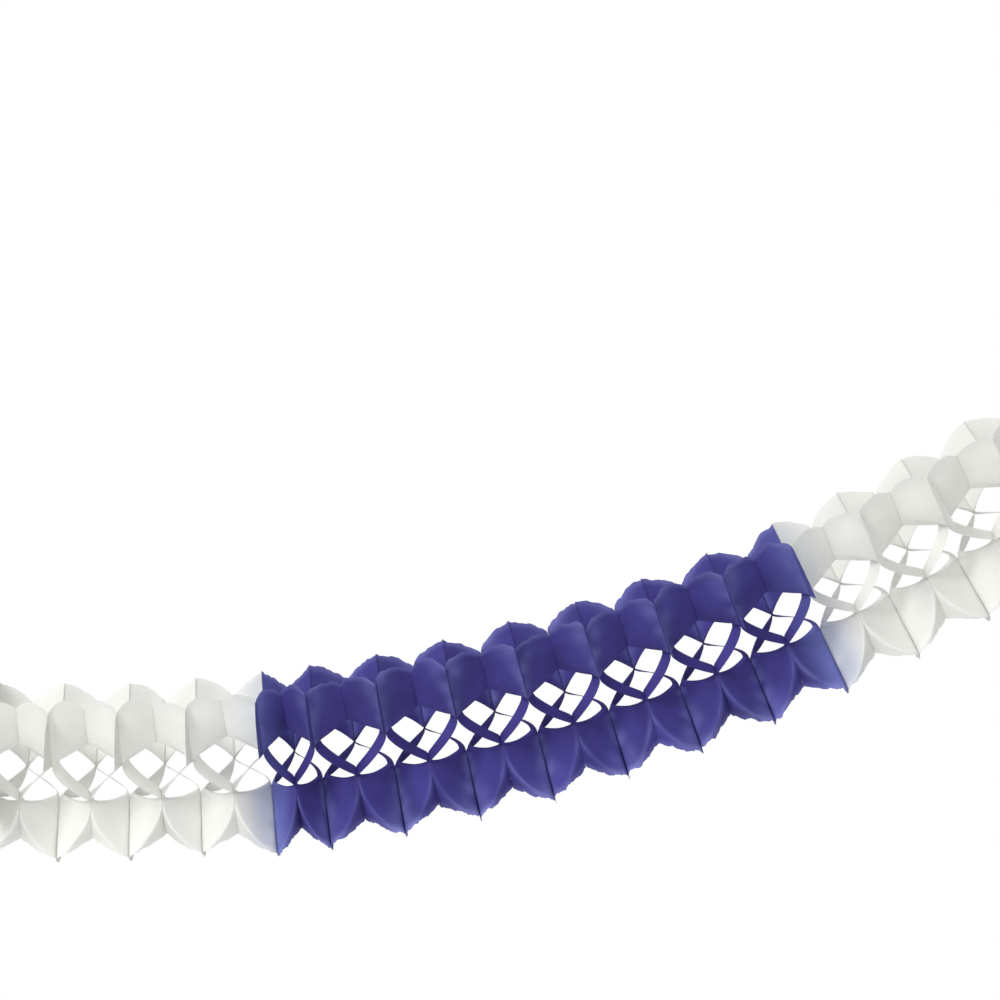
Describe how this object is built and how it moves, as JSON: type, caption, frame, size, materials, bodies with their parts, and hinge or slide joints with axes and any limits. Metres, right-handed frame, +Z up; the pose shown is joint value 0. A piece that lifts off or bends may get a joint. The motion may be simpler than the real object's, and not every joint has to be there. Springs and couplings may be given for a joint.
{
  "type": "paper garland",
  "caption": "Festive tissue garland in blue and white: die-cut petal leaves glued in turn and drawn out, hung in a shallow swag, with a card and a hang hole at each end.",
  "frame": {"origin": "middle of the hang hole in the higher end card", "axes": "+X along the swag towards its higher end, +Z up, the front faces -Y"},
  "size_m": [1.1132, 0.183, 0.4798],
  "materials": {
    "white_tissue": "matte tissue paper, lightly creased",
    "blue_tissue": "matte dyed tissue paper, lightly creased",
    "white_card": "matte thin card"
  },
  "bodies": {
    "root": {"white_low_leaf_01": "white_tissue", "white_low_leaf_02": "white_tissue", "white_low_leaf_03": "white_tissue", "white_low_leaf_04": "white_tissue", "white_low_leaf_05": "white_tissue", "white_low_leaf_06": "white_tissue", "white_low_leaf_07": "white_tissue", "white_low_leaf_08": "white_tissue", "blue_leaf_01": "blue_tissue", "blue_leaf_02": "blue_tissue", "blue_leaf_03": "blue_tissue", "blue_leaf_04": "blue_tissue", "blue_leaf_05": "blue_tissue", "blue_leaf_06": "blue_tissue", "blue_leaf_07": "blue_tissue", "blue_leaf_08": "blue_tissue", "blue_leaf_09": "blue_tissue", "blue_leaf_10": "blue_tissue", "blue_leaf_11": "blue_tissue", "blue_leaf_12": "blue_tissue", "blue_leaf_13": "blue_tissue", "blue_leaf_14": "blue_tissue", "blue_leaf_15": "blue_tissue", "blue_leaf_16": "blue_tissue", "white_high_leaf_01": "white_tissue", "white_high_leaf_02": "white_tissue", "white_high_leaf_03": "white_tissue", "white_high_leaf_04": "white_tissue", "white_high_leaf_05": "white_tissue", "white_high_leaf_06": "white_tissue", "white_high_leaf_07": "white_tissue", "white_high_leaf_08": "white_tissue", "end_card_low": "white_card", "end_card_high": "white_card"}
  },
  "joints": []
}
